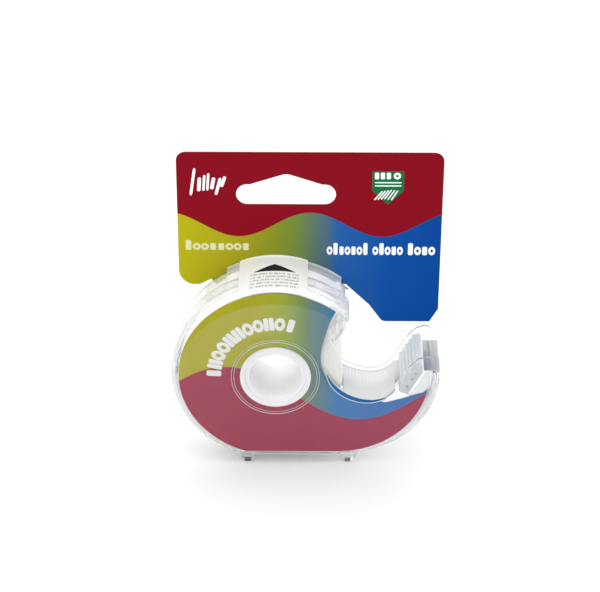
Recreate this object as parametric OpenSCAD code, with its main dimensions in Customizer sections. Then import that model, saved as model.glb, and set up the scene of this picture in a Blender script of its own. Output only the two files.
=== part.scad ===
// Hand tape dispenser: two clear half shells round a roll of tape, on a hang card.
//
// X runs to the right, towards the cutter, Y runs from the front to the back and Z runs up.
// The origin is on the surface that the feet stand on, in the middle of the whole part.
//
// Every piece is drawn lying flat, round the hub: x to the right, y up and z towards the
// front, with z = 0 where the two shells meet. The module stand() then sets it upright.

/* [Case] */
// Radius of the round part of the case
case_r = 37.5; // [36.5:0.5:40]
// Depth of the case from its front to its back
case_depth = 22; // [22:0.5:26]
// Thickness of the shells' walls
wall = 1; // [0.8:0.1:1.2]
// Distance from the hub's axis down to the flat underside
base_drop = 34.5; // [34:0.1:34.6]
// Distance from the hub's axis across to the centre of the prow
prow_x = 24.4; // [24:0.2:25]
// Radius of the prow, under the cutter
prow_r = 34.9; // [34.8:0.1:35.2]
// Rounding of the case's front and back edges
edge_r = 3; // [2:0.5:4]
// Rounding of the edges along the flat underside
base_edge_r = 1.4; // [1.2:0.2:2]
// Distance from the hub's axis down to the feet's soles
foot_drop = 38.5; // [37:0.5:40]

/* [Fits] */
// Gap between the front shell's wall and the back shell's wall inside it
nest_gap = 0.3; // [0.2:0.1:0.5]
// Length of back shell's rim that reaches inside the front shell
nest_depth = 3; // [2:0.5:4]
// Gap between the hub's two tubes, which slide one in the other
hub_gap = 0.08; // [0.05:0.01:0.1]
// Gap between the loose pieces inside and the shells' walls
inner_gap = 0.2; // [0.15:0.05:0.3]

/* [Hub] */
// Radius of the hole through the hub
hub_bore_r = 9.5; // [8.5:0.1:9.7]
// Wall thickness of each hub tube
hub_wall = 1.3; // [1:0.1:1.4]
// Inside and outside radius of the groove moulded round the hub
hub_ring_r = [15, 15.9];
// Depth of that groove
hub_ring_depth = 0.3; // [0.2:0.1:0.5]

/* [Tape] */
// Width of the tape
tape_w = 18; // [12:1:18]
// Inside radius of the tape's core
core_r = 12.8; // [12.6:0.1:13]
// Wall thickness of the core
core_wall = 1.6; // [1:0.1:2]
// Outside radius of the full roll
roll_r = 24.2; // [18:0.2:24.4]

/* [Mouth] */
// Centre of the mouth's round floor, from the hub's axis
mouth_c = [35, 8];
// Radius of the mouth's round floor
mouth_r = 17.6; // [17:0.2:18]
// Radius of the bend from the floor up to the finger
heel_r = 9.2; // [8.6:0.2:9.8]
// Steepness of the finger's inner edge
finger_slope = 60; // [58:1:62]

/* [Cutter] */
// Thickness of the cutting strip
blade_t = 0.5; // [0.4:0.1:0.6]
// Height of the cutting strip above the hub's axis
blade_y = 2; // [2:0.1:2.4]
// Number of teeth
teeth = 16; // [12:1:24]
// Length of a tooth
tooth_l = 0.9; // [0.6:0.1:1.2]
// Number of ribs on the tape rest
rest_ribs = 5; // [3:1:6]

/* [Cards] */
// Thickness of the hang card
card_t = 0.4; // [0.3:0.05:0.5]
// Left and right sides of the hang card, from the hub's axis
card_x = [-35, 59.4];
// Top of the hang card above the hub's axis
card_top = 80.3; // [78:0.5:84]
// Thickness of the printed label inside the front
label_t = 0.3; // [0.2:0.05:0.35]
// Radius of the printed label round the hub
label_r = 34.9; // [34:0.1:35]
// Thickness of the seal strip
seal_t = 0.15; // [0.1:0.05:0.2]
// Height of the strip's turned-up end against the hang card
flap = 0.6; // [0.4:0.1:1]
// Left and right edges of the seal strip
seal_x = [-12.9, 11.5];

/* [Hidden] */
$fn = 96;
slack = 1;
half = case_depth / 2;
inside = half - wall;
nest = wall + nest_gap;
hub_tube_r = hub_bore_r + hub_wall;
sleeve_bore_r = hub_tube_r + hub_gap;
sleeve_r = sleeve_bore_r + hub_wall;
roll_clear_r = roll_r + 1.2;
seal_gap = 0.06;
blade_gap = 0.3;
card_gap = 0.05;
block_angles = [51, 118];
// the mouth's outline: the rounded nose of its lip, the lip's underside, and the floor's end
nose_c = [24.6, 25.2];
nose_r = 1.8;
lip = [[25, 21.4], [23.2, 18], [20.5, 14.8]];
lip_far_x = 29;
floor_end = 268;
heel_c = mouth_c + (mouth_r - heel_r) * [cos(floor_end), sin(floor_end)];
slope_end = finger_edge(11.2);
// the finger: its ear's inner corner and rounded top, its root, and its inner end
ear_foot = [51.2, 7.9];
ear_c = [54.3, 6.4];
ear_r = 2.4;
ear_side = [[57.7, 3.6], [59.1, 1]];
finger_root_y = -6;
finger_x = [42.6, 54];
// where the wall along the mouth stops, short of the tape rest
wall_stop = [43.2, -6.2];
// the feet: outlines of their lower ends, below the flat underside
foot_z = [5, 9];
left_foot_x = [-12.5, -8.3];
left_foot_tip = [[-8.3, 1.4], [-9.4, 0], [-11.4, 0], [-12.5, 1.4]];
right_foot_x = [23.4, 30.2];
right_foot_tip = [[28.4, 0.8], [27.4, 0], [25.4, 0], [24.4, 1.2]];
// the label: its gaps to the case's flat underside, prow and mouth, and its tip in the finger
label_base_gap = 0.5;
label_prow_in = 2.2;
label_prow_shift = 1.8;
label_hub_gap = 0.35;
label_tip = [[53.4, -6.9], [52.6, -6.9], [46, -9.3], [40, -11.2]];
label_lip = [[17, 14], [19.3, 22.7]];
// the hang card: rounded corners, the arch over the case, and the notch for the mouth
card_corner = 3.5;
card_ear_r = 6;
card_ear_y = 31.7;
card_arch_in = 4.5;
card_step = [-23.4, 28.1];
card_notch = [[25.2, 26.1], [33.8, 17.3]];
card_notch_c = [39.9, 12.7];
card_notch_r = 2.5;
card_tip = [[55.8, 10.2], [58.9, 15.6]];
// the hanging slot: a wide slot, and the hump on its top
slot_x = [-10, 17.4];
slot_y = 63.3;
slot_r = 4;
hump_c = [3.8, 66.4];
hump_r = 5;
hump_foot_x = [-9, 16.4];
hump_foot_y = 64.8;
hump_foot_r = 2.4;
// the tape rest: a slab with ribs on its face, and blind holes in its front end
rest_foot = [45.1, -3.6];
rest_top = [50.6, 5.6];
rest_back = [[1.6, 0.2], [2.3, -0.7]];
rest_t = 4.4;
rest_heel = 2.2;
rest_toe = 2.6;
rib_r = 0.6;
rest_holes = [[50.6, 1.2], [49.4, -1.2], [47.5, -4.4]];
rest_hole_r = 0.6;
rest_hole_l = 1.8;
// the cutting strip, and the fold that stiffens it
blade_x = [53.4, 58.3];
fold_x = [55.2, 56];
fold_drop = 0.4;
fold_t = 0.6;
// how far round the case's front edge the seal strip reaches
seal_end = 62;

// Points along an arc, from one angle to another
function arc(c, r, from, to, steps = 12) =
    [for (i = [0:steps]) c + r * [cos(from + (to - from) * i / steps),
                                  sin(from + (to - from) * i / steps)]];

// The point a distance up the finger's straight inner edge
function finger_edge(up) =
    heel_c + heel_r * [cos(finger_slope - 90), sin(finger_slope - 90)]
    + up * [cos(finger_slope), sin(finger_slope)];

// Puts a piece that is drawn flat round the hub in its place in the standing part
module stand() {
    translate([-(card_x[1] - case_r) / 2, -(card_t + card_gap) / 2, foot_drop])
        rotate([90, 0, 0]) children();
}

// A slab of an outline, between two distances in front of the parting plane
module slab(from, to) {
    translate([0, 0, from]) linear_extrude(to - from) children();
}

// A disc standing on z = bottom, whose top edge is rounded
module pebble(r, bottom, top, round) {
    rotate_extrude() polygon(concat([[0, bottom], [r, bottom]],
                                    arc([r - round, top - round], round, 0, 90, 8), [[0, top]]));
}

// The case's solid outer form on one side of the parting plane, drawn in by an inset
module half_form(inset, bottom, top) {
    round = edge_r - inset;
    base = base_drop - inset;
    base_round = max(base_edge_r - inset, 0.4);
    intersection() {
        union() {
            pebble(case_r - inset, bottom, top, round);
            intersection() {
                translate([prow_x, 0, 0]) pebble(prow_r - inset, bottom, top, round);
                slab(bottom, top) translate([0, -case_r]) square([2 * case_r, case_r + blade_y - 0.1]);
            }
            slab(bottom, top) translate([0, -base]) square([prow_x, base]);
        }
        // everything above the flat underside, with its long edge rounded
        rotate([90, 0, 90]) translate([0, 0, -case_r - slack])
            linear_extrude(case_r + prow_x + prow_r + 2 * slack)
                polygon(concat([[-base, bottom], [case_r + slack, bottom], [case_r + slack, top]],
                               arc([-base + base_round, top - base_round], base_round, 90, 180, 5)));
    }
}

// The open mouth between the lip and the finger, as an outline
module mouth_2d() {
    over = case_r + slack;
    polygon(concat(arc(nose_c, nose_r, 45, -40, 8), lip,
                   arc(mouth_c, mouth_r, 170, floor_end, 24),
                   arc(heel_c, heel_r, 270, 270 + finger_slope, 12),
                   [slope_end, ear_foot, [ear_foot[0], over], [lip_far_x, over]]));
}

// The finger's cheek: the ear that stands up beside the cutter, as an outline. Its inner
// side runs past the finger's edge, and the mouth is then cut from it
module cheek_2d() {
    polygon(concat([[finger_x[0], finger_root_y], [finger_x[0], -finger_root_y - 1], ear_foot - [2.7, 0.9]],
                   arc(ear_c, ear_r, 110, 15, 8), ear_side,
                   [[prow_x + prow_r, -1], [finger_x[1], finger_root_y]]));
}

// The wall that runs along the mouth's edge, except where the roll and the tape rest are
module mouth_wall_2d(inset) {
    difference() {
        offset(delta = inset + wall) mouth_2d();
        offset(delta = inset) mouth_2d();
        circle(r = roll_clear_r);
        translate(wall_stop) square([prow_r, 2 * case_r]);
    }
}

// One half shell without its hub: a tray with a rounded rim. drop is how far its rim
// reaches past the parting plane, and inset how far it is drawn in
module tray(inset, drop) {
    difference() {
        union() {
            half_form(inset, -drop, half);
            slab(inside, half) cheek_2d();
        }
        half_form(inset + wall, -drop - slack, inside);
        slab(-drop - slack, inside) offset(delta = inset) mouth_2d();
        slab(inside - slack, half + slack) mouth_2d();
    }
    intersection() {
        half_form(inset, -drop, half);
        slab(-drop, inside + wall / 2) mouth_wall_2d(inset);
    }
}

// The two feet of one shell, which hang under its flat underside
module feet(top) {
    sole = [0, -foot_drop];
    slab(foot_z[0], foot_z[1]) {
        polygon(concat([for (x = left_foot_x) [x, top]], [for (p = left_foot_tip) p + sole]));
        polygon(concat([for (x = right_foot_x) [x, top]], [for (p = right_foot_tip) p + sole]));
    }
}

// A tube standing round the hub's axis
module tube(outer_r, inner_r, from, to) {
    difference() {
        translate([0, 0, from]) cylinder(r = outer_r, h = to - from);
        translate([0, 0, from - slack]) cylinder(r = inner_r, h = to - from + 2 * slack);
    }
}

// Front shell: the wider tray, with the outer hub tube that the roll turns on
module front_shell() {
    color("aliceblue", 0.5) stand() {
        difference() {
            tray(0, 0);
            translate([0, 0, inside - slack]) cylinder(r = sleeve_bore_r, h = wall + 2 * slack);
            tube(hub_ring_r[1], hub_ring_r[0], half - hub_ring_depth, half + slack);
        }
        tube(sleeve_r, sleeve_bore_r, -inside + 2 * inner_gap, inside + wall / 2);
        feet(-base_drop + wall / 2);
    }
}

// Back shell: its rim reaches inside the front shell's, and its hub tube runs right through
module rear_shell() {
    color("lightcyan", 0.5) stand() mirror([0, 0, 1]) {
        difference() {
            union() {
                tray(nest, nest_depth);
                // the raised stretch of rim that comes up flush with the front shell
                rotate([0, 0, block_angles[0]]) rotate_extrude(angle = block_angles[1] - block_angles[0])
                    translate([case_r - nest - wall / 2, inner_gap])
                        square([nest + wall / 2, half - 2 * inner_gap]);
            }
            translate([0, 0, inside - slack]) cylinder(r = hub_bore_r, h = wall + 2 * slack);
        }
        tube(hub_tube_r, hub_bore_r, -half + inner_gap, inside + wall / 2);
        feet(-base_drop + nest + wall / 2);
    }
}

// The label's outline: it fills the front but for the mouth, the finger and the hub
module label_2d() {
    low = base_drop - wall - label_base_gap;
    prow_label_r = prow_r - label_prow_in;
    difference() {
        polygon(concat(arc([0, 0], label_r, 52, 180 + asin(low / label_r), 48),
                       arc([prow_x - label_prow_shift, prow_label_r - low], prow_label_r, 270, 352, 24),
                       label_tip, arc(mouth_c, mouth_r + wall + inner_gap, 275, 172, 24), label_lip));
        circle(r = sleeve_r + label_hub_gap);
    }
}

// Printed card label, lying against the inside of the front
module face_label() {
    color("olive") stand() slab(inside - inner_gap - label_t, inside - inner_gap) label_2d();
}

// The hang card's outline, with the arch that fits round the case's top
module card_2d() {
    corner_y = card_top - card_corner;
    polygon(concat(arc([card_x[1] - card_corner, corner_y], card_corner, 0, 90, 8),
                   arc([card_x[0] + card_corner, corner_y], card_corner, 90, 180, 8),
                   arc([card_x[0] + card_ear_r, card_ear_y], card_ear_r, 180, 290, 12),
                   [card_step], arc([0, 0], case_r - card_arch_in, 130, 52, 24), card_notch,
                   arc(card_notch_c, card_notch_r, 212, 270, 5), card_tip));
}

// The hanging slot: a wide round-ended slot with a hump in the middle
module hang_slot_2d() {
    hull() for (x = slot_x) translate([x, slot_y]) circle(r = slot_r);
    hull() {
        translate(hump_c) circle(r = hump_r);
        for (x = hump_foot_x) translate([x, hump_foot_y]) circle(r = hump_foot_r);
    }
}

// Hang card, behind the case
module header_card() {
    color("firebrick") stand() slab(-half - card_gap - card_t, -half - card_gap) difference() {
        card_2d();
        hang_slot_2d();
    }
}

// Seal strip: it runs back over the rim's top and turns up against the hang card
module seal_strip() {
    inner = edge_r + seal_gap;
    outer = inner + seal_t;
    edge = [case_r - edge_r, half - edge_r];
    from = acos(seal_x[1] / case_r);
    to = acos(seal_x[0] / case_r);
    color("white") stand() rotate([0, 0, from]) rotate_extrude(angle = to - from)
        polygon(concat(arc(edge, outer, seal_end, 0, 8),
                       [[edge[0] + outer, -half + seal_t], [edge[0] + outer + flap, -half + seal_t],
                        [edge[0] + outer + flap, -half], [edge[0] + inner, -half]],
                       arc(edge, inner, 0, seal_end, 8)));
}

// White plastic core, which turns on the hub
module tape_core() {
    color("whitesmoke") stand() tube(core_r + core_wall, core_r, -tape_w / 2, tape_w / 2);
}

// The wound tape
module tape_roll() {
    color("ivory") stand() tube(roll_r, core_r + core_wall + 0.05, -tape_w / 2, tape_w / 2);
}

// Tape rest: a ribbed slab behind the cutter, with three blind holes in its front end
module tape_rest() {
    face = rest_top - rest_foot;
    along = face / norm(face);
    across = [along[1], -along[0]];
    tilt = atan2(face[1], face[0]);
    ribs = [for (i = [0:rest_ribs - 1])
                each arc(rest_foot + face * (i + 0.5) / rest_ribs, rib_r, tilt + 180, tilt, 8)];
    color("gainsboro") stand() difference() {
        slab(-inside + inner_gap, inside - inner_gap)
            polygon(concat(ribs, [rest_top], [for (p = rest_back) rest_top + p],
                           [[blade_x[0] - blade_gap, blade_y],
                            rest_foot + rest_t * across - rest_heel * along,
                            rest_foot - rest_toe * along + across, rest_foot]));
        for (spot = rest_holes)
            translate([spot[0], spot[1], inside - inner_gap - rest_hole_l])
                cylinder(r = rest_hole_r, h = rest_hole_l + slack);
    }
}

// Cutting strip with a row of teeth along its outer edge
module cutter_blade() {
    length = 2 * (inside - inner_gap);
    pitch = length / teeth;
    color("silver") stand() translate([0, blade_y + blade_t, 0]) rotate([90, 0, 0]) {
        linear_extrude(blade_t) polygon(concat(
            [[blade_x[0], length / 2], [blade_x[0], -length / 2]],
            [for (i = [0:teeth - 1], step = [[0, 0], [tooth_l, 0.5]])
                [blade_x[1] + step[0], -length / 2 + (i + step[1]) * pitch]],
            [[blade_x[1], length / 2]]));
        // the stiffening fold along the middle of the strip
        translate([fold_x[0], -length / 2, -fold_drop]) cube([fold_x[1] - fold_x[0], length, fold_t]);
    }
}

rear_shell();
front_shell();
face_label();
header_card();
seal_strip();
tape_core();
tape_roll();
tape_rest();
cutter_blade();
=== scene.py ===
# %% [markdown]
# # A hand tape dispenser on its hang card
# The dispenser is two clear half shells that push together round a roll of tape. A printed
# label lies inside the front half, a paper seal runs over the top, and a printed hang card
# stands behind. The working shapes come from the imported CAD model. This lesson dresses
# them: it gives each material its look and models the small pieces again in finer detail.
# Everything is in metres, with X to the right, Y from front to back and Z up.

# %% Load the frame
import math
import bpy
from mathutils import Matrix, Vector


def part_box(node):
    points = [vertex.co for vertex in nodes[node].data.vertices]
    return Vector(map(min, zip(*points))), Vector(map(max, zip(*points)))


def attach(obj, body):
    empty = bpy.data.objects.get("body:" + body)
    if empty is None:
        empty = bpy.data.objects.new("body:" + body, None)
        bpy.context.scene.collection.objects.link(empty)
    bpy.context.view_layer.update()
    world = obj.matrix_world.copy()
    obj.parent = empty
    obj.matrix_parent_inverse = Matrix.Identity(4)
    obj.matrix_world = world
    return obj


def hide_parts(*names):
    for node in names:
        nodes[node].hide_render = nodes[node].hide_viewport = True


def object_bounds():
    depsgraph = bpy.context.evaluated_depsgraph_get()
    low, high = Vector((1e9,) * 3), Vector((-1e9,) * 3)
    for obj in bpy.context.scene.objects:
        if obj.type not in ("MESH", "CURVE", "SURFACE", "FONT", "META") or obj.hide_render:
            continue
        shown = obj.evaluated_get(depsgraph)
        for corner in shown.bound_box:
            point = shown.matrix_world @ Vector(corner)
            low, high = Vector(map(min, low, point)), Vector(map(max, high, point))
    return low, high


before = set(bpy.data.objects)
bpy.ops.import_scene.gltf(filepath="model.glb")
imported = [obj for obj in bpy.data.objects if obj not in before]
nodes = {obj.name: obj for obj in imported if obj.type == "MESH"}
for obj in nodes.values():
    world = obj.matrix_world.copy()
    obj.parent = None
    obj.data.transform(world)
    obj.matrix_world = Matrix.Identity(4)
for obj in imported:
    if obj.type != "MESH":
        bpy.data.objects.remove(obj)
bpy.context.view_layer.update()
MM = 0.001
print("pieces from the CAD model:", ", ".join(sorted(nodes)))

# %% [markdown]
# All the round things share one axis, the hub's. Its place comes from the tape's core, and
# every size below is then a distance from that axis, as it would be on a maker's drawing.
# Depths are taken from the parting plane, where the two halves of the case meet.

# %% Where the hub is
core_low, core_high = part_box("tape_core")
hub = (core_low + core_high) / 2
front_y = (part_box("front_shell")[0].y - hub.y) / MM
print("hub axis at x, z =", round(hub.x, 5), round(hub.z, 5), "m, front at y =", round(front_y, 3), "mm")


def at(x, z, y=0.0):
    """A point in millimetres from the hub's axis: x right, z up, y back from the parting plane."""
    return Vector((hub.x + x * MM, hub.y + y * MM, hub.z + z * MM))


# %% [markdown]
# ## Helpers for materials
# Every finish is a small tree of shader nodes. One helper adds a node of any type and fills
# its inputs. Colours are picked as sRGB hex values, as a painter would name them, and one
# function turns them into the linear numbers that the renderer works in. A pattern's scale
# is worked out from the real size of its grains.

# %% Colours and grains
def linear(hex_colour):
    """An sRGB hex colour as linear red, green, blue and alpha."""
    parts = [int(hex_colour[i:i + 2], 16) / 255 for i in (1, 3, 5)]
    return [c / 12.92 if c <= 0.04045 else ((c + 0.055) / 1.055) ** 2.4 for c in parts] + [1.0]


def grain(size):
    """The scale of a noise whose grains have a size given in millimetres."""
    return 1 / (size * MM)


# %% Adding a node
MODES = {"Math": ["operation"], "Mix": ["data_type", "blend_type"], "TexNoise": ["noise_dimensions"]}


def add_node(tree, kind, *values, **named):
    """Adds a node. kind is its type, then its modes. Values fill its inputs in order or by name.
    Each is a number, a colour, a socket, or a node whose first output the input takes."""
    name, *modes = kind.split()
    node = tree.nodes.new("ShaderNode" + name)
    for setting, mode in zip(MODES.get(name, []), modes):
        setattr(node, setting, mode)
    live = [socket for socket in node.inputs if socket.enabled]
    by_name = {socket.name: socket for socket in live}
    filled = list(zip(live, values)) + [(by_name[key.replace("_", " ")], v) for key, v in named.items()]
    for socket, value in filled:
        if isinstance(value, bpy.types.Node):
            value = next(result for result in value.outputs if result.enabled)
        if isinstance(value, bpy.types.NodeSocket):
            tree.links.new(value, socket)
        else:
            socket.default_value = value
    return node


# %% Starting and ending a material
def start_material(name):
    """A new material, and its empty node tree."""
    material = bpy.data.materials.new(name)
    material.use_nodes = True
    material.node_tree.nodes.clear()
    return material, material.node_tree


def end_material(material, shader):
    """Joins the last shader to the material's output."""
    add_node(material.node_tree, "OutputMaterial", Surface=shader)
    print("made", material.name, "with", len(material.node_tree.nodes), "nodes")
    return material


def dress(name, material):
    """Gives a CAD piece one material."""
    nodes[name].data.materials.clear()
    nodes[name].data.materials.append(material)
    print("dressed", name, "in", material.name)


# %% Places and distances on the case
def from_hub(tree):
    """The place in millimetres from the hub's axis, as sockets for x, y and z."""
    place = add_node(tree, "TexCoord").outputs["Object"]
    scaled = add_node(tree, "Mapping", Vector=place, Scale=(1 / MM,) * 3,
                      Location=tuple(-c / MM for c in hub))
    return add_node(tree, "SeparateXYZ", Vector=scaled).outputs


def distance_from(tree, x, z, centre=(0, 0)):
    """The distance of the sockets x and z from a point of the front, which is the hub's axis by default."""
    dx = add_node(tree, "Math SUBTRACT", x, centre[0])
    dz = add_node(tree, "Math SUBTRACT", z, centre[1])
    return add_node(tree, "Math SQRT", add_node(tree, "Math MULTIPLY_ADD", dx, dx,
                                                add_node(tree, "Math MULTIPLY", dz, dz)))


def facing(tree):
    """How far a surface faces the back: -1 at the front, 0 on the rim and 1 at the back."""
    normal = add_node(tree, "NewGeometry").outputs["Normal"]
    return add_node(tree, "SeparateXYZ", Vector=normal).outputs[1]


# %% Grain, mottle and lamp light
def skin(tree, size, detail, strength, height=0.05):
    """The fine grain of a surface and the bump that it makes. size and height are in millimetres."""
    place = add_node(tree, "TexCoord").outputs["Object"]
    noise = add_node(tree, "TexNoise", Vector=place, Scale=grain(size), Detail=detail)
    return noise, add_node(tree, "Bump", Height=noise, Strength=strength, Distance=height * MM)


def mottled(tree, colour, noise, darkest, lightest, **spread):
    """A colour that a noise makes a little darker and lighter from place to place."""
    tone = add_node(tree, "MapRange", Value=noise, To_Min=darkest, To_Max=lightest, **spread)
    return add_node(tree, "Mix RGBA MULTIPLY", Factor=1.0, A=colour, B=tone)


def let_lamps_through(tree, shader, colour):
    """Rays from lamps, which a glassy shader would stop, see a tinted window instead."""
    window = add_node(tree, "BsdfTransparent", Color=linear(colour))
    path = add_node(tree, "LightPath")
    return add_node(tree, "MixShader", path.outputs["Is Shadow Ray"], shader, window)


# %% [markdown]
# ## Clear crystal polystyrene
# The shells are moulded in general purpose polystyrene, the clearest and cheapest glassy
# plastic. It bends light, its gloss comes straight from the polished mould, and the melt's
# flow leaves a very slight waviness. The faces were polished and are clear. The side walls
# were drawn along the mould and are hazier. The hub and the mouth's floor are frosted. One
# material does all of this, by which way a surface points and where it is. The real front
# rounds over near its top edge, and at its lip along the mouth, and there it no longer
# mirrors the pale table. So its reflection is painted out there, by a mask on the specular
# tint, and the print looks deeper.

# %% Where the case changes its finish, and where its reflection is painted out
HUB_FROST_R, HUB_BLUR = 12.75, 0.1          # the hub is frosted inside this radius, with a soft edge
MOUTH, MOUTH_R = (35, 8), 17.6              # the mouth's round floor
FLOOR_W, LIP_W = 1.3, 2.0                   # its frosted wall, and the front's lip along it
# Outside this circle and high on the front, the reflection is painted out.
ROUND_OVER, ROUND_OVER_R = (0, -6), 37.0    # outside this circle the front turns upwards,
ROUND_BLUR = 0.3                            # over this width on both sides of the circle,
HIGH_Z, CASE_END_X = (5, 10), 30            # but only from these heights up and left of this line
CLEAR_FACE, CLEAR_SIDE, CLEAR_HUB, CLEAR_FLOOR = 0.994, 0.62, 0.35, 0.25


def frosted_floor(tree, from_mouth, low, on_face):
    """1 on the side walls close round the mouth, and 0 elsewhere."""
    near = add_node(tree, "Math MULTIPLY", low,
                    add_node(tree, "Math LESS_THAN", from_mouth, MOUTH_R + FLOOR_W))
    return add_node(tree, "Math MULTIPLY", near, add_node(tree, "Math SUBTRACT", 1.0, on_face))


def rounded_away(tree, x, z, from_mouth, low, on_face):
    """1 on the parts of the faces where the reflection is painted out, and 0 elsewhere."""
    turned_up = add_node(tree, "MapRange", Value=distance_from(tree, x, z, ROUND_OVER),
                         From_Min=ROUND_OVER_R - ROUND_BLUR, From_Max=ROUND_OVER_R + ROUND_BLUR)
    high = add_node(tree, "MapRange", Value=z, From_Min=HIGH_Z[0], From_Max=HIGH_Z[1])
    on_case = add_node(tree, "Math MULTIPLY", high, add_node(tree, "Math LESS_THAN", x, CASE_END_X))
    lip = add_node(tree, "Math MULTIPLY", low, add_node(tree, "Math LESS_THAN", from_mouth, MOUTH_R + LIP_W))
    edge = add_node(tree, "Math MULTIPLY", turned_up, on_case)
    return add_node(tree, "Math MULTIPLY", on_face, add_node(tree, "Math MAXIMUM", edge, lip))


# %% Clear polystyrene
def make_clear_polystyrene():
    material, tree = start_material("crystal_polystyrene")
    _, wavy = skin(tree, 11.1, 1.0, 0.06, 0.4)
    x, _, z = from_hub(tree)
    radius, from_mouth = distance_from(tree, x, z), distance_from(tree, x, z, MOUTH)
    low = add_node(tree, "Math LESS_THAN", z, MOUTH[1] / 2)
    on_face = add_node(tree, "MapRange", Value=add_node(tree, "Math ABSOLUTE", facing(tree)),
                       From_Min=0.5, From_Max=0.95)
    floor = frosted_floor(tree, from_mouth, low, on_face)
    reflection_painted_out = rounded_away(tree, x, z, from_mouth, low, on_face)
    sides = add_node(tree, "MapRange", Value=floor, To_Min=CLEAR_SIDE, To_Max=CLEAR_FLOOR)
    walls = add_node(tree, "MapRange", Value=on_face, To_Min=sides, To_Max=CLEAR_FACE)
    in_hub = add_node(tree, "MapRange", Value=radius, From_Min=HUB_FROST_R - HUB_BLUR,
                      From_Max=HUB_FROST_R + HUB_BLUR, To_Min=CLEAR_HUB)
    frost = add_node(tree, "Math MAXIMUM", floor, add_node(tree, "Math LESS_THAN", radius, HUB_FROST_R))
    side_tint = add_node(tree, "Mix RGBA", Factor=floor, A=linear("#FCFDFD"), B=linear("#E3E5E3"))
    tint = add_node(tree, "Mix RGBA", Factor=on_face, A=side_tint, B=linear("#FEFEFF"))
    # Painted reflection: the specular tint falls to 0.1 where the real front would mirror darker things.
    shine = add_node(tree, "Mix RGBA", Factor=reflection_painted_out, A=(1, 1, 1, 1), B=(0.1, 0.1, 0.1, 1))
    shader = add_node(tree, "BsdfPrincipled", Base_Color=tint, IOR=1.42, Normal=wavy, Specular_Tint=shine,
                      Roughness=add_node(tree, "MapRange", Value=frost, To_Min=0.03, To_Max=0.3),
                      Transmission_Weight=add_node(tree, "Math MULTIPLY", walls, in_hub))
    return end_material(material, let_lamps_through(tree, shader, "#FCFDFD"))


clear_polystyrene = make_clear_polystyrene()
for shell in ("front_shell", "rear_shell"):
    dress(shell, clear_polystyrene)

# %% [markdown]
# ## Printed card
# The label and the hang card are printed in the same run: a blend that goes from olive
# through green to blue from left to right, and a dark red field with a wavy edge. The blend
# is a colour ramp along X. The wave is one cosine, worked out in millimetres. The label's
# inks are painted a little lighter and stronger, to make up for the light that the front of
# the case takes on the way to the label and back.

# %% The two printed fields
CARD_BLEND = [(-34, "#B1AB11"), (-17, "#A5A01A"), (-8, "#95911E"), (0, "#808C23"), (6, "#718434"),
              (11, "#627A50"), (15, "#556D6B"), (18.5, "#46667E"), (22, "#235CA1"), (40, "#044A9B"),
              (60, "#004292")]
# The label's ramp is painted lighter than the card's, to make up for light lost in the clear front.
LABEL_BLEND = [(-34, "#B5AF00"), (-10, "#B3AE04"), (-4.8, "#B3B008"), (3, "#A3B01C"), (7, "#8BA145"),
               (10, "#779250"), (12.8, "#6A887A"), (17.8, "#4C7F96"), (22, "#1E7ABC"), (40, "#1870BA"),
               (60, "#1466B1")]

PRINT_BLUR = 0.06       # the red field's edge is this soft, on both sides


def colour_blend(tree, x, blend):
    """A ramp of colours along x. blend lists each colour with its place in millimetres."""
    first, last = blend[0][0], blend[-1][0]
    across = add_node(tree, "MapRange", Value=x, From_Min=first, From_Max=last)
    ramp = add_node(tree, "ValToRGB", Fac=across)
    stops = ramp.color_ramp.elements
    while len(stops) < len(blend):
        stops.new(0.5)
    for stop, (place, colour) in zip(stops, blend):
        stop.position = (place - first) / (last - first)
        stop.color = linear(colour)
    return ramp


def printed_colour(tree, blend, red, wave, red_above):
    """The blend and the red field over it. wave is (height, depth, length, crest) in millimetres."""
    x, _, z = from_hub(tree)
    height, depth, length, crest = wave
    turn = add_node(tree, "Math MULTIPLY", add_node(tree, "Math SUBTRACT", x, crest), 2 * math.pi / length)
    edge = add_node(tree, "Math MULTIPLY_ADD", add_node(tree, "Math COSINE", turn), depth, height)
    over = add_node(tree, "Math SUBTRACT", *((z, edge) if red_above else (edge, z)))
    in_red = add_node(tree, "MapRange", Value=over, From_Min=-PRINT_BLUR, From_Max=PRINT_BLUR)
    return add_node(tree, "Mix RGBA", Factor=in_red, A=colour_blend(tree, x, blend), B=linear(red))


# %% [markdown]
# ## Coated card
# The card is folding boxboard with a satin coat: white and printed in front, grey behind,
# where recycled fibre shows as soft clouds. The ink hardly shines. The noise that stands for
# the paper's tooth is coarser than real tooth, so that it shows at all.

# %% Coated card
def make_printed_card(name, blend, red, wave, red_above):
    """Satin ink on the side that faces the front, and grey board on the back and the cut edge."""
    material, tree = start_material(name)
    speckle, tooth = skin(tree, 0.4, 2.0, 0.15)
    ink = mottled(tree, printed_colour(tree, blend, red, wave, red_above), speckle, 0.96, 1.05)
    place = add_node(tree, "TexCoord").outputs["Object"]
    fibres = add_node(tree, "TexNoise", Vector=place, Scale=grain(2.222), Detail=5.0, Roughness=0.7)
    board = mottled(tree, linear("#D3D0C6"), fibres, 0.9, 1.04, From_Min=0.3, From_Max=0.7)
    printed_side = add_node(tree, "Math LESS_THAN", facing(tree), -0.5)
    colour = add_node(tree, "Mix RGBA", Factor=printed_side, A=board, B=ink)
    shader = add_node(tree, "BsdfPrincipled", Base_Color=colour, Roughness=0.5, Specular_IOR_Level=0.06,
                      Normal=tooth)
    return end_material(material, shader)


card_wave, label_wave = (50.9, 4.9, 51.1, 12.4), (-7.4, 11.3, 96.0, -18.0)
hang_card_print = make_printed_card("hang_card_print", CARD_BLEND, "#83051A", card_wave, True)
# The label's red is painted lighter too, for the light lost in the clear front.
label_print = make_printed_card("label_print", LABEL_BLEND, "#A40141", label_wave, False)
dress("header_card", hang_card_print)
dress("face_label", label_print)

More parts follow.
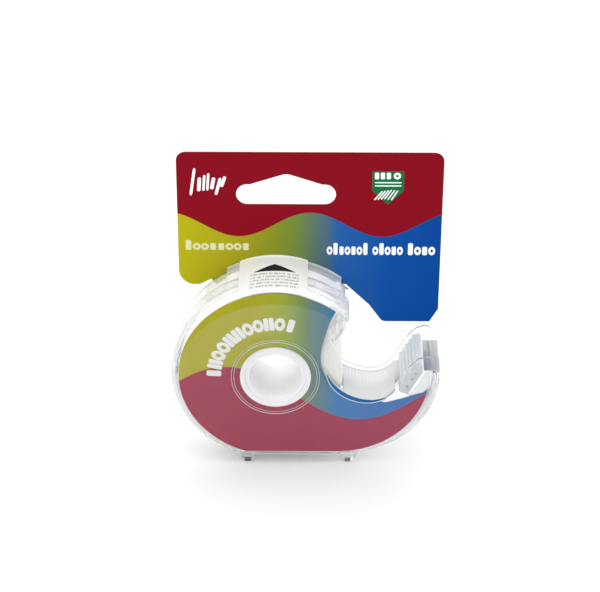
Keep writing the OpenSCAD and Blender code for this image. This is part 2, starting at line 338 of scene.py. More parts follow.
# %% [markdown]
# ## White polypropylene
# The tape's core is a moulded tube of white polypropylene. It is a little waxy: light goes a
# short way into it, and its shine is broad and soft. Subsurface scatter and a middling
# roughness give that, with a faint orange-peel skin from the mould.

# %% White core
def make_core_plastic():
    material, tree = start_material("white_polypropylene")
    _, peel = skin(tree, 1.43, 3.0, 0.2)
    return end_material(material, add_node(
        tree, "BsdfPrincipled", Base_Color=linear("#F6F7F7"), Roughness=0.4,
        Subsurface_Weight=0.15, Subsurface_Scale=0.002, Normal=peel))


core_plastic = make_core_plastic()

# %% [markdown]
# ## Wound film
# The roll is hundreds of turns of clear polypropylene film. Seen from its end it is pale,
# yellowish and glassy, with faint rings where the tension changed. A noise along the radius
# alone draws those rings. Real turns are 0.04 mm apart, too fine to show, so these rings are
# about a sixth of a millimetre apart.

# %% Wound film
RINGS_PER_MM = 6.0


def make_wound_film():
    material, tree = start_material("wound_polypropylene_film")
    x, _, z = from_hub(tree)
    rings = add_node(tree, "TexNoise 1D", W=distance_from(tree, x, z), Scale=RINGS_PER_MM, Detail=4.0)
    ridges = add_node(tree, "Bump", Height=rings, Strength=0.25, Distance=0.1 * MM)
    return end_material(material, add_node(
        tree, "BsdfPrincipled", Base_Color=mottled(tree, linear("#DADCD6"), rings, 0.9, 1.08),
        Roughness=0.22, Subsurface_Weight=0.3, Subsurface_Scale=0.003, Coat_Weight=0.5,
        Coat_Roughness=0.1, Normal=ridges))


wound_film = make_wound_film()

# %% [markdown]
# ## Frosted polystyrene
# The tape rest is moulded from the same clear plastic, but in a mould that a spark has etched.
# The etching leaves a fine grit on every face, so the piece looks milky and bluish. A low
# transmission and a strong fine bump give that.

# %% Frosted tape rest
def make_frosted_plastic():
    material, tree = start_material("frosted_polystyrene")
    _, grit = skin(tree, 0.333, 2.0, 0.4)
    shader = add_node(tree, "BsdfPrincipled", Base_Color=linear("#E8ECED"), Roughness=0.4, IOR=1.5,
                      Transmission_Weight=0.3, Normal=grit)
    return end_material(material, let_lamps_through(tree, shader, "#E4E8EA"))


dress("tape_rest", make_frosted_plastic())

# %% [markdown]
# ## Stamped steel
# The cutter is stamped from bright rolled strip. Rolling leaves short streaks along the
# strip, which break its shine up. A noise that is stretched along Y, about 17 mm long and a
# quarter of a millimetre wide, changes the roughness in the same way.

# %% Steel cutter
STREAK_W, STREAK_L = 0.25, 16.7


def make_cutter_steel():
    material, tree = start_material("stamped_steel")
    place = add_node(tree, "TexCoord").outputs["Object"]
    streaks = add_node(tree, "Mapping", Vector=place,
                       Scale=(grain(STREAK_W), grain(STREAK_L), grain(STREAK_W)))
    marks = add_node(tree, "TexNoise", Vector=streaks, Scale=1.0, Detail=2.0)
    return end_material(material, add_node(
        tree, "BsdfPrincipled", Base_Color=linear("#C2C6C5"), Metallic=1.0,
        Roughness=add_node(tree, "MapRange", Value=marks, To_Min=0.25, To_Max=0.45),
        Normal=add_node(tree, "Bump", Height=marks, Strength=0.1, Distance=0.05 * MM)))


cutter_steel = make_cutter_steel()

# %% [markdown]
# ## Seal paper
# The seal is thin white paper with an arrow and five rows of small grey print. Both are
# drawn by where they lie: x across the case and y from front to back. The arrow is a
# triangle. The print is a row of dashes, cut from a noise that changes from row to row, so
# that it looks like words and spells none.

# %% What is printed on the seal
ARROW = {"middle": -0.3, "base": 0.9, "half_width": 7.7, "height": 4.8}
ROWS = {"front": -9.3, "pitch": 2.0, "height": 1.05, "count": 5, "half_width": 8.7}
DASHES_PER_MM, ROW_SHIFT, DASH_SHARE, PRINT_DARKNESS = 1.1, 7.3, 0.47, 0.62


def arrow_mask(tree, across, y):
    """1 inside the triangle, and 0 outside it."""
    ahead = add_node(tree, "Math SUBTRACT", y, ARROW["base"])
    slant = add_node(tree, "Math MULTIPLY", ahead, ARROW["half_width"] / ARROW["height"])
    inside = add_node(tree, "Math LESS_THAN", add_node(tree, "Math ADD", across, slant), ARROW["half_width"])
    return add_node(tree, "Math MULTIPLY", inside, add_node(tree, "Math GREATER_THAN", ahead, 0.0))


def small_print_mask(tree, x, across, y):
    """The dashes of the small print, row by row."""
    row = add_node(tree, "Math DIVIDE", add_node(tree, "Math SUBTRACT", y, ROWS["front"]), ROWS["pitch"])
    in_row = add_node(tree, "Math LESS_THAN", add_node(tree, "Math FRACT", row),
                      ROWS["height"] / ROWS["pitch"])
    in_block = add_node(tree, "Math MULTIPLY", add_node(tree, "Math GREATER_THAN", row, 0.0),
                        add_node(tree, "Math LESS_THAN", row, ROWS["count"]))
    in_width = add_node(tree, "Math LESS_THAN", across, ROWS["half_width"])
    row_start = add_node(tree, "Math MULTIPLY", add_node(tree, "Math FLOOR", row), ROW_SHIFT)
    words = add_node(tree, "TexNoise 1D", Scale=1.0, Detail=3.0, Roughness=0.8,
                     W=add_node(tree, "Math MULTIPLY_ADD", x, DASHES_PER_MM, row_start))
    dash = add_node(tree, "Math GREATER_THAN", words, DASH_SHARE)
    return add_node(tree, "Math MULTIPLY", add_node(tree, "Math MULTIPLY", in_row, in_block),
                    add_node(tree, "Math MULTIPLY", in_width, dash))


# %% Seal paper
def make_seal_paper():
    material, tree = start_material("seal_paper")
    x, y, _ = from_hub(tree)
    across = add_node(tree, "Math ABSOLUTE", add_node(tree, "Math SUBTRACT", x, ARROW["middle"]))
    fibre, bump = skin(tree, 1.111, 4.0, 0.2)
    paper = mottled(tree, linear("#E6E8E6"), fibre, 0.94, 1.03)
    darkness = add_node(tree, "Math MULTIPLY", small_print_mask(tree, x, across, y), PRINT_DARKNESS)
    printed = add_node(tree, "Mix RGBA", Factor=darkness, A=paper, B=linear("#6F7A76"))
    printed = add_node(tree, "Mix RGBA", Factor=arrow_mask(tree, across, y), A=printed, B=linear("#131C1D"))
    return end_material(material, add_node(tree, "BsdfPrincipled", Base_Color=printed, Roughness=0.5,
                                           Specular_IOR_Level=0.2, Normal=bump))


seal_paper = make_seal_paper()

# %% [markdown]
# ## Making pieces by hand
# The new pieces are modelled as at the keyboard: add a primitive at its size, select faces by
# where they point, inset, extrude, bridge or spin them, then bevel the edges. Each finished
# piece gets its place baked into its mesh, rides on a body and stands in for its CAD node.

# %% Selecting
def select_only(obj):
    """Makes one object the only selected one, and the active one."""
    bpy.ops.object.select_all(action="DESELECT")
    obj.select_set(True)
    bpy.context.view_layer.objects.active = obj
    return obj


def edit_where(obj, kind, test):
    """Opens a piece in edit mode with only the vertices, edges or faces that pass the test selected."""
    if obj.mode == "EDIT":
        bpy.ops.object.mode_set(mode="OBJECT")
    select_only(obj)
    bpy.ops.object.mode_set(mode="EDIT")
    bpy.ops.mesh.select_mode(type=kind)
    bpy.ops.mesh.select_all(action="DESELECT")
    bpy.ops.object.mode_set(mode="OBJECT")
    parts = {"VERT": obj.data.vertices, "EDGE": obj.data.edges, "FACE": obj.data.polygons}[kind]
    for part in parts:
        part.select = test(part)
    bpy.ops.object.mode_set(mode="EDIT")


# %% Finishing a shape
def bake_place(obj):
    """Moves a piece's place, turn and size into its mesh."""
    select_only(obj)
    bpy.ops.object.transform_apply(location=True, rotation=True, scale=True)
    return obj


def clean(obj, merge_distance=1e-7):
    """Merges points that lie together, and points every face outwards."""
    select_only(obj)
    bpy.ops.object.mode_set(mode="EDIT")
    bpy.ops.mesh.select_all(action="SELECT")
    bpy.ops.mesh.remove_doubles(threshold=merge_distance)
    bpy.ops.mesh.normals_make_consistent(inside=False)
    bpy.ops.object.mode_set(mode="OBJECT")


def bevel(obj, width, segments, angle=30.0):
    """Rounds the edges that are sharper than the angle."""
    select_only(obj)
    modifier = obj.modifiers.new("round_edges", "BEVEL")
    modifier.width = width
    modifier.segments = segments
    modifier.limit_method = "ANGLE"
    modifier.angle_limit = math.radians(angle)
    bpy.ops.object.modifier_apply(modifier=modifier.name)


def thicken(obj, thickness, offset=-1):
    """Gives a sheet its thickness, to the inside."""
    select_only(obj)
    modifier = obj.modifiers.new("thickness", "SOLIDIFY")
    modifier.thickness = thickness
    modifier.offset = offset
    bpy.ops.object.modifier_apply(modifier=modifier.name)


# %% Settling and joining pieces
def settle(obj, name, material, body, stands_for=()):
    """Bakes a finished piece's place into its mesh, and gives it its name, finish and body."""
    clean(bake_place(obj))
    bpy.ops.object.shade_smooth_by_angle(angle=math.radians(35))
    obj.name = obj.data.name = name
    obj.data.materials.clear()
    obj.data.materials.append(material)
    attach(obj, body)
    if stands_for:
        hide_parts(*stands_for)
    print(name, "has", len(obj.data.polygons), "faces and rides on", body)
    return obj


def join(marks):
    """Joins several marks or beads into one piece."""
    bpy.ops.object.select_all(action="DESELECT")
    for obj in marks:
        obj.select_set(True)
    bpy.context.view_layer.objects.active = marks[0]
    bpy.ops.object.transform_apply(location=True, rotation=True, scale=True)
    bpy.ops.object.join()
    return bpy.context.object


# %% [markdown]
# ## The core
# The core is a plain tube with a small step in each end, where the moulds met. It starts as
# a cylinder lying along Y. Its two end faces are inset, and bridging the inner faces opens
# the bore. That is quicker than cutting a hole, and it leaves clean rings of faces.

# %% A ring with stepped ends
RING_SIDES = 128


def ring(outer_r, inner_r, low_y, high_y, steps):
    """A ring round the hub's axis. steps are (share of the wall, depth in mm) insets on both ends."""
    bpy.ops.object.select_all(action="DESELECT")
    bpy.ops.mesh.primitive_cylinder_add(vertices=RING_SIDES, radius=outer_r, depth=high_y - low_y,
                                        location=(hub.x, (low_y + high_y) / 2, hub.z),
                                        rotation=(math.pi / 2, 0, 0))
    obj = bpy.context.object
    edit_where(obj, "FACE", lambda face: len(face.vertices) > 4)
    for share, depth in steps:
        bpy.ops.mesh.inset(thickness=(outer_r - inner_r) * share, depth=depth * MM)
    bpy.ops.mesh.bridge_edge_loops()
    bpy.ops.object.mode_set(mode="OBJECT")
    return obj


# %% The core
core_wall = 1.6 * MM
core_r = (core_high.x - core_low.x) / 2
core = ring(core_r, core_r - core_wall, core_low.y, core_high.y, [(0.3, 0), (0.1, -0.15), (0.6, 0)])
bevel(core, 0.12 * MM, 2)
settle(core, "white_core", core_plastic, "roll", ["tape_core"])

# %% [markdown]
# ## The wound tape
# The edges of a wound tape never lie quite level, and these rings are what the eye reads as
# tape. So the roll is made like the core, but its ends are inset in 24 small steps, each a
# few hundredths of a millimetre in or out. Two waves of different lengths set the depths.

# %% The wound roll
WINDING_STEPS = 24
roll_low, roll_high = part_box("tape_roll")
roll_r = (roll_high.x - roll_low.x) / 2
roll_gap = 0.05 * MM
uneven = [0.05 * math.sin(2.1 * i) * math.cos(0.7 * i) for i in range(WINDING_STEPS)]
depths = [-0.06] + [after - before for before, after in zip(uneven, uneven[1:])]
wound = ring(roll_r, core_r + roll_gap, roll_low.y + roll_gap, roll_high.y - roll_gap,
             [(1 / WINDING_STEPS, depth) for depth in depths])
settle(wound, "wound_tape", wound_film, "roll", ["tape_roll"])

# %% [markdown]
# ## The cutter
# The cutter is one thin steel strip. A stiffening fold runs along it, and a press has cut a
# row of teeth into its free edge. It starts as a flat grid: the column of points where the
# fold goes is pushed down, every second point of the free edge is pulled out to make the
# teeth, and the Solidify modifier gives the strip its thickness.

# %% The flat strip
blade_low, blade_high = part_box("cutter_blade")
teeth, columns, fold_column = 16, 12, 5
tooth_l, fold_depth, blade_t = 0.9 * MM, 0.35 * MM, 0.3 * MM
strip_w = blade_high.x - tooth_l - blade_low.x
strip_l = blade_high.y - blade_low.y
bpy.ops.object.select_all(action="DESELECT")
bpy.ops.mesh.primitive_grid_add(x_subdivisions=columns, y_subdivisions=2 * teeth, size=1.0,
                                location=(blade_low.x + strip_w / 2, (blade_low.y + blade_high.y) / 2,
                                          blade_high.z))
cutter = bpy.context.object
cutter.scale = (strip_w, strip_l, 1)
bake_place(cutter)
print("the strip is", round(strip_l / MM, 2), "mm long and has", teeth, "teeth")

# %% The fold and the teeth
fold_x = blade_low.x + strip_w * fold_column / columns
pitch = strip_l / (2 * teeth)
edit_where(cutter, "VERT", lambda v: abs(v.co.x - fold_x) < strip_w / 20)
bpy.ops.transform.translate(value=(0, 0, -fold_depth))
edit_where(cutter, "VERT", lambda v: v.co.x > blade_high.x - tooth_l - pitch / 10
           and round((v.co.y - blade_low.y) / pitch) % 2 == 1)
bpy.ops.transform.translate(value=(tooth_l, 0, 0))
bpy.ops.object.mode_set(mode="OBJECT")
thicken(cutter, blade_t)
bevel(cutter, 0.04 * MM, 1, 50)
settle(cutter, "cutter_strip", cutter_steel, "case_back", ["cutter_blade"])

# %% [markdown]
# ## The paper seal
# The seal is a strip of thin paper that runs back over the case's top and turns up against the
# hang card in an arched flap. Its section, from the front to the flap, is drawn by extruding
# one point along, and spinning that section round the hub's axis makes the curved strip.

# %% The seal's section
CASE_R, EDGE_R, HALF_DEPTH = 37.5, 3.0, 11.0    # the case's rim, its rounded front edge, half its depth
SEAL_GAP = 0.2                                  # the seal's height over the case
SEAL_X = (-12.9, 11.5)                          # its left and right edges
FOLD_STEPS, FOLD_FROM, FOLD_TO = 7, 28, 90      # the roll over the front edge, in degrees
seal_r = CASE_R + SEAL_GAP
card_front = -HALF_DEPTH + 0.02
section = []
for i in range(FOLD_STEPS + 1):
    turn = math.radians(FOLD_FROM + (FOLD_TO - FOLD_FROM) * i / FOLD_STEPS)
    section.append((CASE_R - EDGE_R + (EDGE_R + SEAL_GAP) * math.sin(turn),
                    HALF_DEPTH - EDGE_R + (EDGE_R + SEAL_GAP) * math.cos(turn)))
section += [(seal_r, HALF_DEPTH - EDGE_R - d) for d in (4, 8, 12, 16)]
section += [(seal_r, card_front + 0.35), (seal_r + 0.1, card_front + 0.08), (seal_r + 0.3, card_front)]
print("the seal's section has", len(section), "points")


# %% Drawing and spinning the section
def on_case(radius, angle, z):
    """A point at a radius and angle round the hub, z millimetres in front of the parting plane."""
    return at(radius * math.cos(angle), radius * math.sin(angle), -z)


start_angle = math.acos(SEAL_X[1] / CASE_R)
sweep = math.acos(SEAL_X[0] / CASE_R) - start_angle
corners = [on_case(radius, start_angle, z) for radius, z in section]
bpy.ops.object.select_all(action="DESELECT")
bpy.ops.mesh.primitive_plane_add(size=MM, location=on_case(section[0][0], start_angle, section[0][1]))
seal = bake_place(bpy.context.object)
bpy.ops.object.mode_set(mode="EDIT")
bpy.ops.mesh.merge(type="CENTER")
for before, after in zip(corners, corners[1:]):
    bpy.ops.mesh.extrude_vertices_move(TRANSFORM_OT_translate={"value": after - before})
bpy.ops.mesh.select_all(action="SELECT")
bpy.ops.mesh.spin(steps=36, angle=sweep, center=hub, axis=(0, 1, 0))
bpy.ops.object.mode_set(mode="OBJECT")

# %% [markdown]
# Paper never lies quite flat, and this flap stands higher in its middle than at its sides. So
# the points of the flap are moved out along an arch, and all the others get a slight ripple.
# Then the sheet gets its thickness, on its under side.

# %% The flap's arch and the ripple
FLAP_SIDE, FLAP_TOP, ARCH_POWER = 0.1, 0.58, 0.7
RIPPLE, RIPPLE_TURNS = 0.03, 23
flap_y = at(0, 0, -card_front).y
for vertex in seal.data.vertices:
    out = Vector((vertex.co.x - hub.x, vertex.co.z - hub.z))
    share = (math.atan2(out.y, out.x) - start_angle) / sweep
    if vertex.co.y > flap_y - 0.02 * MM:
        crown = math.sin(math.pi * max(0.0, min(1.0, share))) ** ARCH_POWER
        length = (seal_r + FLAP_SIDE + (FLAP_TOP - FLAP_SIDE) * crown) * MM
    else:
        length = out.length + RIPPLE * MM * math.sin(RIPPLE_TURNS * share) * math.sin(math.pi * share)
    vertex.co.x, vertex.co.z = hub.x + out.x / out.length * length, hub.z + out.y / out.length * length

# %% The seal's thickness
clean(seal)
top_face = max(seal.data.polygons, key=lambda face: face.center.z * abs(face.normal.z))
if top_face.normal.z < 0:
    bpy.ops.object.mode_set(mode="EDIT")
    bpy.ops.mesh.flip_normals()
    bpy.ops.object.mode_set(mode="OBJECT")
thicken(seal, 0.12 * MM)
settle(seal, "paper_seal", seal_paper, "case_front", ["seal_strip"])

# %% [markdown]
# ## Painted lines at the moulded edges
# The sharp edges of the groove round the hub, and of the lip along the mouth, catch the light
# as fine bright lines, and here near-white beads paint these highlights. The edge where the
# two halves meet loses light and looks grey, and a grey bead paints that shade. A round
# edge's line is a thin bead, made by spinning a small circle round the hub. The lip isn't
# round the hub, so its line is made as a strip below.

# %% Edge plastic for painted highlight and shade lines
def make_edge(name, colour, clearness):
    """Polystyrene coloured for the light at a tight edge: near white paints a highlight where light comes
    out, grey paints shade where it is lost.
    """
    material, tree = start_material(name)
    _, drag = skin(tree, 2.5, 2.0, 0.1)
    return end_material(material, add_node(
        tree, "BsdfPrincipled", Base_Color=linear(colour), Roughness=0.12, IOR=1.5,
        Transmission_Weight=clearness, Normal=drag))


# The near-white edge is a painted highlight, and the grey joint is painted shade where light is lost.
painted_highlight_plastic = make_edge("polystyrene_painted_highlight", "#FBFDFF", 0.2)
joint_edge = make_edge("polystyrene_joint", "#9FAAB0", 0.1)


# %% Beads
def bead(radius, low_angle, high_angle, thick, y):
    """A bead along an arc round the hub. Sizes and the place y in millimetres, angles in degrees."""
    bpy.ops.object.select_all(action="DESELECT")
    centre = at(0, 0, y)
    start = math.radians(low_angle)
    place = centre + Vector((math.cos(start), 0, math.sin(start))) * radius * MM
    bpy.ops.mesh.primitive_circle_add(vertices=10, radius=thick * MM / 2, location=place,
                                      rotation=(0, -start, 0))
    obj = bake_place(bpy.context.object)
    bpy.ops.object.mode_set(mode="EDIT")
    bpy.ops.mesh.select_all(action="SELECT")
    if high_angle - low_angle < 360:
        bpy.ops.mesh.edge_face_add()
    bpy.ops.mesh.spin(steps=96, angle=math.radians(high_angle - low_angle), center=centre, axis=(0, 1, 0))
    bpy.ops.object.mode_set(mode="OBJECT")
    clean(obj, 1e-6)
    return obj


GROOVE_RADII, GROOVE_BEAD, GROOVE_DEPTH = (15.0, 15.9), 0.16, 0.1
JOINT_BEAD, JOINT_INSET = 0.27, 0.14    # the joint's line lies this far inside the front half's rim
# Painted highlights: two near-white beads stand for the light caught by the groove's edges.
groove_highlights = join([bead(radius, 0, 360, GROOVE_BEAD, front_y + GROOVE_DEPTH) for radius in GROOVE_RADII])
settle(groove_highlights, "hub_ring_painted_highlights", painted_highlight_plastic, "case_front")
# Painted shade: a grey bead stands for the light lost at the joint between the halves.
joint_line = bead(CASE_R - JOINT_INSET, 60, 232, JOINT_BEAD, -JOINT_INSET)
settle(joint_line, "case_joint_line", joint_edge, "case_front")

# %% [markdown]
# ## The lip along the mouth
# Through the lip of the front, along the mouth's floor, the label's colour shows as a deep
# crescent with a bright line under it. Both are thin strips inside the front's wall: the
# crescent in the label's print, and the bright line in near white, a painted highlight. Each
# starts as a grid with one row of faces, whose points are laid out along the mouth.

# %% The lip's strips
LIP_FROM, LIP_TO, LIP_STEPS = 200, 287, 60
BRIGHT_W, LIP_END_W, LIP_T = 0.35, 0.05, 0.05
FLOOR_GAP, OVERLAP = 0.03, 0.05         # the strips clear the floor's wall, and lap over each other
COLOUR_DEPTH, BRIGHT_DEPTH = 0.6, 0.3   # how deep each lies under the front


def lip_width(share):
    """How wide the coloured lip is: full for most of its length, and tapered to both ends."""
    return LIP_END_W + (LIP_W - BRIGHT_W) * (1 - abs(2 * share - 1) ** 2.5)


def mouth_strip(near, far, depth):
    """A strip along the mouth's floor, at a depth under the front. near and far give its two edges,
    in millimetres out from the floor, at each share of the way along."""
    bpy.ops.object.select_all(action="DESELECT")
    bpy.ops.mesh.primitive_grid_add(x_subdivisions=LIP_STEPS, y_subdivisions=1, size=1.0)
    obj = bpy.context.object
    for vertex in obj.data.vertices:
        share = vertex.co.x + 0.5
        angle = math.radians(LIP_FROM + (LIP_TO - LIP_FROM) * share)
        radius = MOUTH_R + (far if vertex.co.y > 0 else near)(share)
        vertex.co = at(MOUTH[0] + radius * math.cos(angle), MOUTH[1] + radius * math.sin(angle),
                       front_y + depth)
    thicken(obj, LIP_T * MM)
    return obj


lip_colour = mouth_strip(lambda share: FLOOR_GAP, lip_width, COLOUR_DEPTH)
settle(lip_colour, "mouth_lip_colour", label_print, "case_front")
# Painted highlight: a near-white strip under the lip's colour.
lip_highlight = mouth_strip(lambda share: lip_width(share) - OVERLAP,
                       lambda share: lip_width(share) + BRIGHT_W, BRIGHT_DEPTH)
settle(lip_highlight, "mouth_lip_painted_highlight", painted_highlight_plastic, "case_front")

# %% [markdown]
# ## What is printed on the cards
# Screen printing leaves a film of ink that stands a little proud of the card, so each mark is
# a very thin solid of its own. One rounded stroke and one small ring are modelled once. Each
# mark copies them, sizes the copy, turns it and joins it to the rest. They stand for rows of
# words without being any: only strokes and rings, in groups.

# %% Inks
def make_ink(name, colour):
    """Screen ink: an even colour with a slight mottle where the film is thinner."""
    material, tree = start_material(name)
    film, bump = skin(tree, 0.667, 3.0, 0.1)
    return end_material(material, add_node(
        tree, "BsdfPrincipled", Base_Color=mottled(tree, linear(colour), film, 0.93, 1.04),
        Roughness=0.45, Specular_IOR_Level=0.1, Normal=bump))


white_ink = make_ink("white_screen_ink", "#F6F7F5")
pale_ink = make_ink("pale_screen_ink", "#DAD9A8")
green_ink = make_ink("green_screen_ink", "#0E6B3C")

# %% One stroke to copy
INK_T = 0.03
STROKE_RATIO, STROKE_ROUND = 3, 0.36    # a stroke is bevelled at this height, by this much of its width


def upright(obj, edge):
    """Whether an edge runs through the ink's thickness, at a corner of the stroke."""
    ends = [obj.data.vertices[i].co.y for i in edge.vertices]
    return abs(ends[0] - ends[1]) > INK_T * MM / 2


def make_stroke():
    """A rounded stroke, one millimetre each way once it is bevelled."""
    bpy.ops.object.select_all(action="DESELECT")
    bpy.ops.mesh.primitive_cube_add(size=MM)
    obj = bpy.context.object
    obj.scale = (1, INK_T, STROKE_RATIO)
    bake_place(obj)
    edit_where(obj, "EDGE", lambda edge: upright(obj, edge))
    bpy.ops.mesh.bevel(offset=STROKE_ROUND * MM, segments=5)
    bpy.ops.object.mode_set(mode="OBJECT")
    obj.scale = (1, 1, 1 / STROKE_RATIO)
    return bake_place(obj)


# %% One ring to copy
def make_loop():
    """A small ring of the same size, whose hole is about two fifths as wide."""
    bpy.ops.object.select_all(action="DESELECT")
    bpy.ops.mesh.primitive_cylinder_add(vertices=28, radius=MM / 2, depth=INK_T * MM,
                                        rotation=(math.pi / 2, 0, 0))
    obj = bake_place(bpy.context.object)
    edit_where(obj, "FACE", lambda face: len(face.vertices) > 4)
    bpy.ops.mesh.inset(thickness=0.31 * MM)
    bpy.ops.mesh.bridge_edge_loops()
    bpy.ops.object.mode_set(mode="OBJECT")
    return obj


stroke, loop = make_stroke(), make_loop()


# %% Placing a mark
def mark(pattern, x, z, width, height, y, turn=0.0):
    """A copy of a stroke or ring at a place on a card, in millimetres, turned by an angle in degrees."""
    obj = pattern.copy()
    obj.data = pattern.data.copy()
    bpy.context.scene.collection.objects.link(obj)
    obj.scale = (width, 1, height)
    obj.rotation_euler = (0, -math.radians(turn), 0)
    obj.location = at(x, z, y)
    return obj


card_y = (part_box("header_card")[0].y - hub.y) / MM - INK_T / 2
label_y = (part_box("face_label")[0].y - hub.y) / MM - INK_T / 2
print("ink lies at y =", round(card_y, 3), "and", round(label_y, 3), "mm from the parting plane")

# %% The flourish: a spray of slanted leaves, each (x, z, width, height, turn)
leaves = [(-29.3, 68.2, 1.0, 11.0, -8), (-27.0, 67.2, 1.3, 5.6, -4), (-25.3, 67.8, 0.9, 6.4, -4),
          (-23.9, 68.2, 0.9, 7.0, -4), (-22.2, 67.6, 1.3, 4.8, -10), (-20.3, 66.4, 1.1, 7.0, -14),
          (-18.5, 68.3, 1.2, 4.4, -18)]
flourish = join([mark(stroke, x, z, width, height, card_y, turn) for x, z, width, height, turn in leaves])
settle(flourish, "card_flourish", white_ink, "case_back")

# %% Rows of strokes and rings where words would be
TALL, STROKE_SHARE, LOOP_SHARE = 1.42, 0.7, 0.98


def row_of_marks(words, z, height, y):
    """Strokes (s), tall strokes (t) and rings (o) in a row. A word is (left edge, width in mm, letters)."""
    marks = []
    for left, width, letters in words:
        step = width / len(letters)
        for i, letter in enumerate(letters):
            high = height * (TALL if letter == "t" else 1.0)
            pattern, share = (loop, LOOP_SHARE) if letter == "o" else (stroke, STROKE_SHARE)
            marks.append(mark(pattern, left + step * (i + 0.5), z + high / 2, share * step, high, y))
    return marks


size_row = join(row_of_marks([(-32.8, 23.5, "toossoos")], 40.2, 2.9, card_y))
settle(size_row, "card_size_row", pale_ink, "case_back")
name_words = [(18.2, 15.0, "otsosot"), (34.6, 11.0, "otoso"), (47.0, 10.2, "toso")]
name_row = join(row_of_marks(name_words, 38.4, 3.5, card_y))
settle(name_row, "card_name_row", white_ink, "case_back")

# %% [markdown]
# ## The green shield
# The shield starts as a thin block. Two slanted cuts with the bisect tool, each filling its own
# cut, take the lower corners off and leave a point. The white marks on it are strokes again.

# %% The shield
SHIELD_X, SHIELD_W = 39.8, 11.2
SHIELD_TOP, SHIELD_SHOULDER, SHIELD_TIP = 72.8, 66.2, 59.3
bpy.ops.object.select_all(action="DESELECT")
bpy.ops.mesh.primitive_cube_add(size=1, location=at(SHIELD_X, (SHIELD_TOP + SHIELD_TIP) / 2, card_y))
shield = bpy.context.object
shield.scale = (SHIELD_W * MM, INK_T * MM, (SHIELD_TOP - SHIELD_TIP) * MM)
bake_place(shield)
for side in (-1, 1):
    edit_where(shield, "FACE", lambda face: True)
    slope = Vector((side * SHIELD_W / 2, 0, SHIELD_SHOULDER - SHIELD_TIP))
    bpy.ops.mesh.bisect(plane_co=at(SHIELD_X, SHIELD_TIP, card_y), use_fill=True, clear_outer=True,
                        plane_no=(slope.z * side, 0, -slope.x * side))
    bpy.ops.object.mode_set(mode="OBJECT")
settle(shield, "card_shield", green_ink, "case_back")

# %% The marks on the shield
shield_y = card_y - INK_T
top_row_z, top_row_h = 70.9, 2.7
shield_marks = [mark(stroke, SHIELD_X + dx, top_row_z, 1.5, top_row_h, shield_y) for dx in (-4, -1.9, 0.2)]
shield_marks.append(mark(loop, SHIELD_X + 3.2, top_row_z, 2.6, top_row_h, shield_y))
shield_marks += [mark(stroke, SHIELD_X, z, 9.4, 0.5, shield_y) for z in (68.2, 66.9)]
for i in range(6):
    shield_marks.append(mark(stroke, SHIELD_X - 3.4 + 1.15 * i, 63.4 - 0.16 * abs(i - 3), 0.5, 4.6,
                             shield_y, -38 + 1.5 * i))
settle(join(shield_marks), "card_shield_marks", white_ink, "case_back")

# %% [markdown]
# ## The arc of marks on the label
# Eleven bold marks follow an arc round the hub. Each is placed by its angle, and turned so that
# its foot points at the hub. A ring stands alone, and so does a tall stroke. The other
# strokes stand in pairs.

# %% Marks on the label
ARC_R, ARC_H, ARC_FROM, ARC_TO = 22.2, 5.4, 177.0, 75.5
PAIR_OFFSET = 0.98
SHAPES = {"o": (loop, 3.9, (0,)),
          "s": (stroke, 1.75, (-PAIR_OFFSET, PAIR_OFFSET)),
          "t": (stroke, 2.4, (0,))}
arc_letters = "tsoossoosot"
arc_marks = []
for i, letter in enumerate(arc_letters):
    angle = ARC_FROM + (ARC_TO - ARC_FROM) * i / (len(arc_letters) - 1)
    along = Vector((math.sin(math.radians(angle)), -math.cos(math.radians(angle))))
    pattern, width, offsets = SHAPES[letter]
    for offset in offsets:
        x, z = -ARC_R * along.y + offset * along.x, ARC_R * along.x + offset * along.y
        arc_marks.append(mark(pattern, x, z, width, ARC_H, label_y, angle - 90))
settle(join(arc_marks), "label_arc_marks", white_ink, "case_front")
for pattern in (stroke, loop):
    bpy.data.objects.remove(pattern)

# %% [markdown]
# ## The set
# The set is a pale sweep: a floor that the feet stand on, bright enough to read as white.
# A large soft lamp overhead, a smaller one at the front left and a pale sky light the
# dispenser without hard shadows. Clear walls in clear walls need many bounces of light,
# or they turn grey.

# %% Floor
bpy.ops.object.select_all(action="DESELECT")
bpy.ops.mesh.primitive_plane_add(size=6.0, location=(0, 0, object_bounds()[0].z))
floor = bpy.context.object
floor.name = "studio_floor"
studio_paper, paper_tree = start_material("studio_paper")
paper = add_node(paper_tree, "BsdfPrincipled", Base_Color=linear("#EAEAEA"), Roughness=0.9)
end_material(studio_paper, paper)
floor.data.materials.append(studio_paper)
print("floor at z =", floor.location.z)


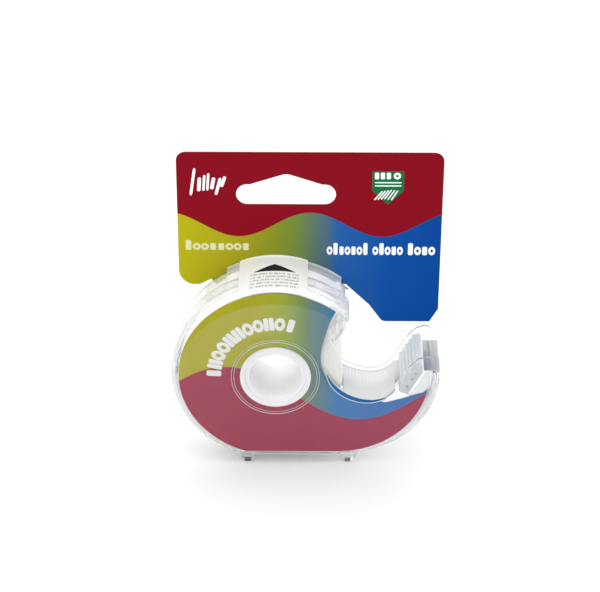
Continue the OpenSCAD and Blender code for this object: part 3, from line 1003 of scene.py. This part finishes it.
# %% Lamps and sky
def soft_lamp(name, place, size, watts):
    """A round soft lamp that is aimed at the hub."""
    data = bpy.data.lights.new(name, "AREA")
    data.shape = "DISK"
    data.size = size
    data.energy = watts
    lamp = bpy.data.objects.new(name, data)
    bpy.context.scene.collection.objects.link(lamp)
    lamp.location = place
    lamp.rotation_euler = (hub - Vector(place)).to_track_quat("-Z", "Y").to_euler()


SKY_STRENGTH, BOUNCES = 1.05, 32
soft_lamp("overhead_lamp", (0.0, 0.15, 1.2), 1.2, 5.6)
soft_lamp("front_lamp", (-0.5, -0.9, 0.7), 0.5, 1.6)
world = bpy.data.worlds.new("pale_sky")
world.use_nodes = True
sky = world.node_tree.nodes["Background"]
sky.inputs["Color"].default_value = (1, 1, 1, 1)
sky.inputs["Strength"].default_value = SKY_STRENGTH
scene = bpy.context.scene
scene.world = world
scene.view_settings.view_transform = "Standard"
scene.cycles.max_bounces = BOUNCES
scene.cycles.transmission_bounces = BOUNCES
scene.cycles.transparent_max_bounces = BOUNCES

# %% [markdown]
# ## The camera
# The camera looks down on the dispenser at 32 degrees through a long lens, from 0.9 m away.
# The hub's front opening sits a little left of the middle of the picture and below it.

# %% Camera
pitch_down, yaw = math.radians(32.0), math.radians(-0.5)
distance, lens_mm, sensor_mm = 0.9, 150.0, 36.0
hub_right, hub_up = -0.0410, -0.1358    # from the picture's middle, as shares of its width
forward = Vector((math.sin(yaw) * math.cos(pitch_down), math.cos(yaw) * math.cos(pitch_down),
                  -math.sin(pitch_down)))
right = Vector((math.cos(yaw), -math.sin(yaw), 0.0))
up = right.cross(forward)
view_width = distance * sensor_mm / lens_mm
eye = at(0, 0, front_y) - forward * distance - (right * hub_right + up * hub_up) * view_width
camera_data = bpy.data.cameras.new("studio_camera")
camera_data.lens = lens_mm
camera_data.sensor_width = sensor_mm
camera = bpy.data.objects.new("studio_camera", camera_data)
scene.collection.objects.link(camera)
camera.location = eye
camera.rotation_euler = forward.to_track_quat("-Z", "Y").to_euler()
scene.camera = camera
print("camera at", [round(c, 4) for c in eye])
